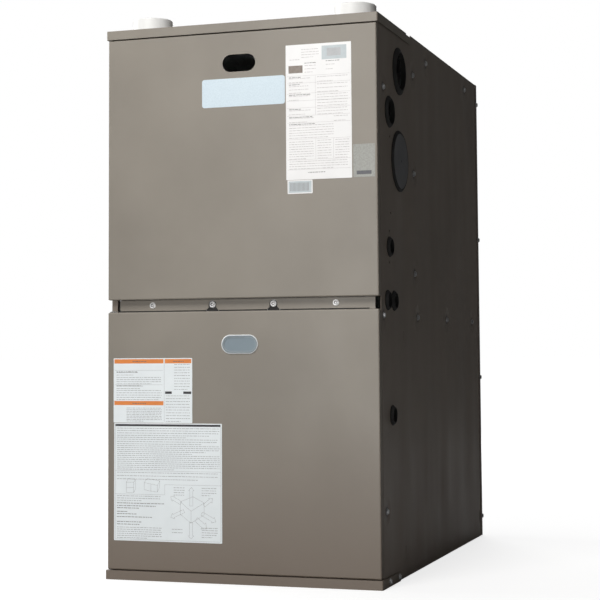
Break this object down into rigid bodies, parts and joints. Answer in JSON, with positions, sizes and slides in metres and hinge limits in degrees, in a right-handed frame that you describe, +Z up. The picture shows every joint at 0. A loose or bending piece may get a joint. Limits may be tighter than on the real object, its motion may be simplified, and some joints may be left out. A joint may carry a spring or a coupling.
{
  "type": "forced air gas furnace",
  "caption": "Upright condensing gas furnace: painted sheet cabinet, lift-off upper and lower doors, twin pipe couplings on top, burners, tubular heat exchanger and blower inside.",
  "frame": {"origin": "middle of the footprint, on the floor", "axes": "+Z up, doors face -Y, +X to the right when facing the doors"},
  "size_m": [0.4506, 0.73, 0.882],
  "materials": {
    "cabinet_paint": "satin textured powder coat, warm grey-brown",
    "galvanised": "galvanised sheet with a faint spangle",
    "zinc_screw": "bright zinc plated",
    "tab_steel": "dark oiled steel",
    "plug": "dark blue-grey painted steel",
    "pvc": "white rigid plastic pipe",
    "black_rubber": "matt black rubber",
    "foil": "crinkled foil facing",
    "clear_window": "clear moulded plastic, slightly blue",
    "plate_blank": "blank pale blue-white plate",
    "label_paper": "blank ruled label stock",
    "card_paper": "blank ruled card with orange header bars",
    "aluminised": "aluminised tube, slightly tarnished",
    "stainless": "stainless sheet",
    "black_plastic": "black glass-filled plastic",
    "motor_black": "semi-gloss black motor paint",
    "iron_pipe": "black steel pipe",
    "brass": "machined brass",
    "cast_aluminium": "die-cast body",
    "ceramic": "bare ceramic",
    "red_plastic": "red plastic",
    "red_hose": "red silicone hose",
    "trap_plastic": "natural white plastic",
    "capacitor_can": "drawn aluminium can",
    "board": "green solder mask",
    "lamination": "varnished laminations and yellow tape",
    "white_plastic": "white acetal",
    "wire": "insulated leads"
  },
  "bodies": {
    "cabinet": {"left_side_panel": "cabinet_paint", "right_side_panel": "cabinet_paint", "rear_panel": "cabinet_paint", "top_vent_panel": "cabinet_paint", "base_rail": "cabinet_paint", "base_frame": "galvanised", "center_rail": "cabinet_paint", "blower_deck": "galvanised", "vestibule_panel": "galvanised", "side_vent_plugs": "plug", "pipe_couplings": "pvc", "rubber_seals": "black_rubber", "primary_tubes": "aluminised", "rear_header": "stainless", "secondary_coil": "stainless", "compartment_liners": "foil", "collector_box": "black_plastic", "inducer_housing": "black_plastic", "inducer_motor": "motor_black", "vent_pipe": "pvc", "burner_box": "galvanised", "burners": "aluminised", "gas_manifold": "iron_pipe", "gas_orifices": "brass", "gas_valve": "cast_aluminium", "igniter": "ceramic", "flame_sensor": "ceramic", "rollout_switches": "black_plastic", "limit_switch": "black_plastic", "pressure_switch": "black_plastic", "pressure_hose": "red_hose", "condensate_trap": "trap_plastic", "drain_pipes": "pvc", "blower_housing": "galvanised", "blower_motor": "motor_black", "motor_mount": "galvanised", "capacitor": "capacitor_can", "control_panel": "galvanised", "control_board": "board", "transformer": "lamination", "door_switch": "black_plastic", "wiring_harness": "wire", "screws": "zinc_screw"},
    "upper_door": {"upper_door": "cabinet_paint", "door_lining": "foil", "name_plate": "plate_blank", "rating_labels": "label_paper"},
    "lower_door": {"lower_door": "cabinet_paint", "door_tabs": "tab_steel", "tab_screws": "zinc_screw", "sight_window": "clear_window", "lower_cards": "card_paper"},
    "blower_rotor": {"blower_wheel": "galvanised", "blower_shaft": "stainless"},
    "inducer_rotor": {"inducer_wheel": "galvanised", "inducer_shaft": "stainless"},
    "gas_knob": {"gas_knob": "black_plastic"},
    "switch_plunger": {"switch_plunger": "white_plastic"},
    "reset_button_left": {"rollout_button_left": "red_plastic"},
    "reset_button_right": {"rollout_button_right": "red_plastic"}
  },
  "joints": [
    {"name": "upper_door_pull", "type": "slide", "parent": "cabinet", "child": "upper_door", "axis": [0, -1, 0], "range_m": [0, 0.4]},
    {"name": "lower_door_pull", "type": "slide", "parent": "cabinet", "child": "lower_door", "axis": [0, -1, 0], "range_m": [0, 0.4]},
    {"name": "blower_spin", "type": "hinge", "parent": "cabinet", "child": "blower_rotor", "pos_m": [0, 0.0335, 0.2], "axis": [1, 0, 0], "continuous": true},
    {"name": "inducer_spin", "type": "hinge", "parent": "cabinet", "child": "inducer_rotor", "pos_m": [0.112, -0.2765, 0.528], "axis": [0, 1, 0], "continuous": true},
    {"name": "gas_knob_turn", "type": "hinge", "parent": "cabinet", "child": "gas_knob", "pos_m": [-0.162, -0.3385, 0.5075], "axis": [0, 1, 0], "range_deg": [0, 90]},
    {"name": "switch_plunger_travel", "type": "slide", "parent": "cabinet", "child": "switch_plunger", "axis": [0, -1, 0], "range_m": [0, 0.005]},
    {"name": "reset_button_left_travel", "type": "slide", "parent": "cabinet", "child": "reset_button_left", "axis": [0, 0, 1], "range_m": [0, 0.0015]},
    {"name": "reset_button_right_travel", "type": "slide", "parent": "cabinet", "child": "reset_button_right", "axis": [0, 0, 1], "range_m": [0, 0.0015]}
  ],
  "couplings": [
    {"joint": "switch_plunger_travel", "follows": "lower_door_pull", "ratio": 0.0125}
  ]
}
